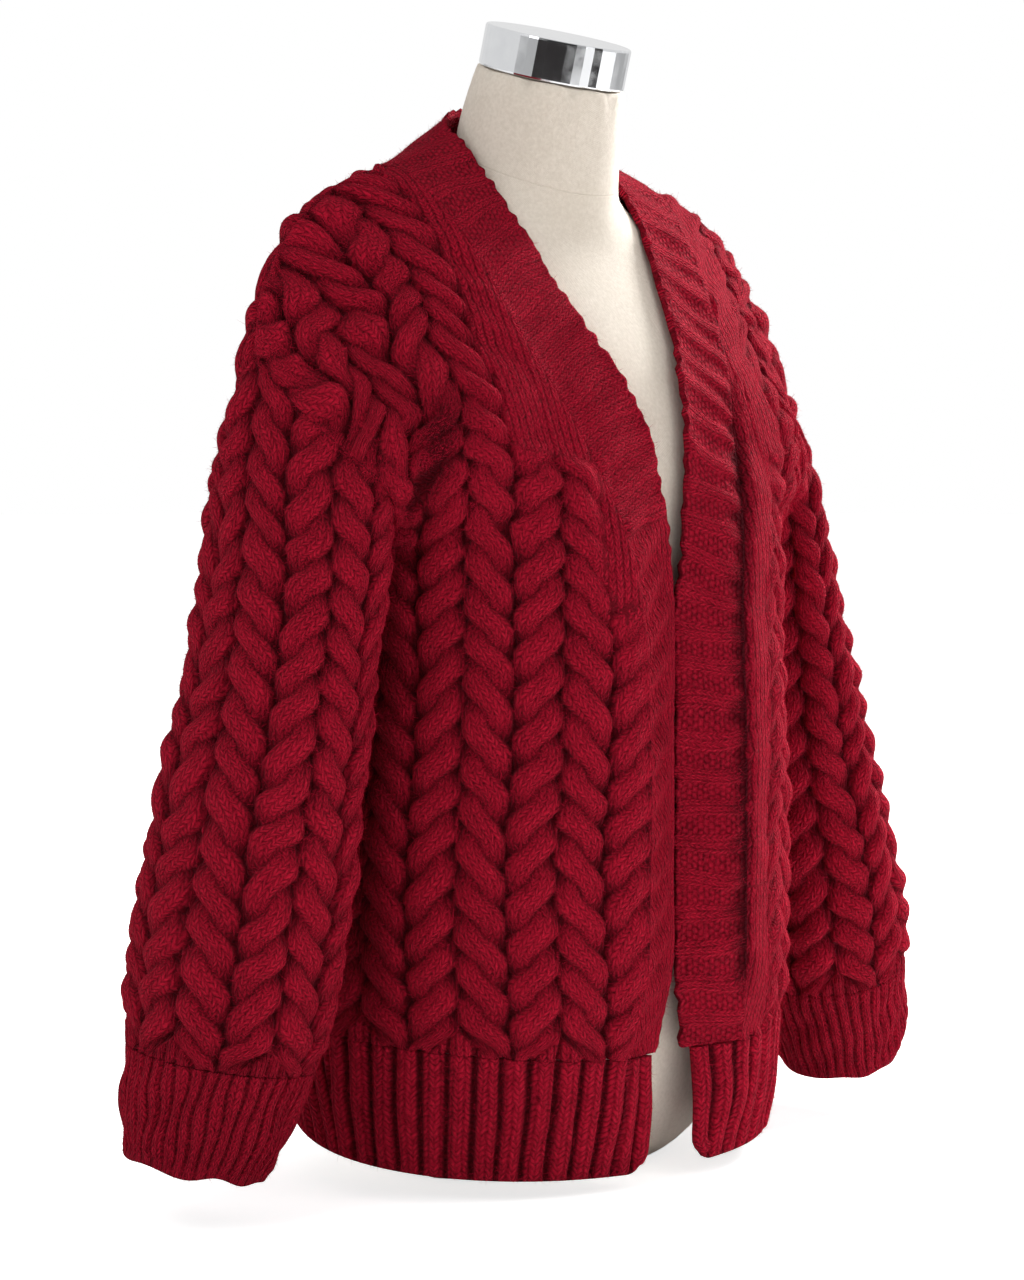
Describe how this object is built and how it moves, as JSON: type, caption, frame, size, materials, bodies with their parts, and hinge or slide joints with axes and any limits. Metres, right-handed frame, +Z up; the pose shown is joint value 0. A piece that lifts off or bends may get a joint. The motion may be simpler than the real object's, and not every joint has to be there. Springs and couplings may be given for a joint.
{
  "type": "cable-knit cardigan on a limbless dress form",
  "caption": "Open, chunky cable-knit cardigan with dropped shoulders, ribbed hem and cuffs and a wide front band, worn by a cream dress form with a chrome neck cap",
  "frame": {"origin": "centre of the dress form's flat base, on the surface it stands on", "axes": "+Z up, the garment's front faces -Y, and the wearer's right side is -X"},
  "size_m": [0.67, 0.2949, 0.7326],
  "materials": {
    "knit": "fuzzy wool",
    "linen": "matte linen",
    "chrome": "polished"
  },
  "bodies": {
    "root": {"back": "knit", "front_right": "knit", "front_left": "knit", "hem_rib_back": "knit", "hem_rib_right": "knit", "hem_rib_left": "knit", "sleeve_right": "knit", "sleeve_left": "knit", "cuff_right": "knit", "cuff_left": "knit", "front_band": "knit", "dress_form": "linen", "neck_cap": "chrome"}
  },
  "joints": []
}
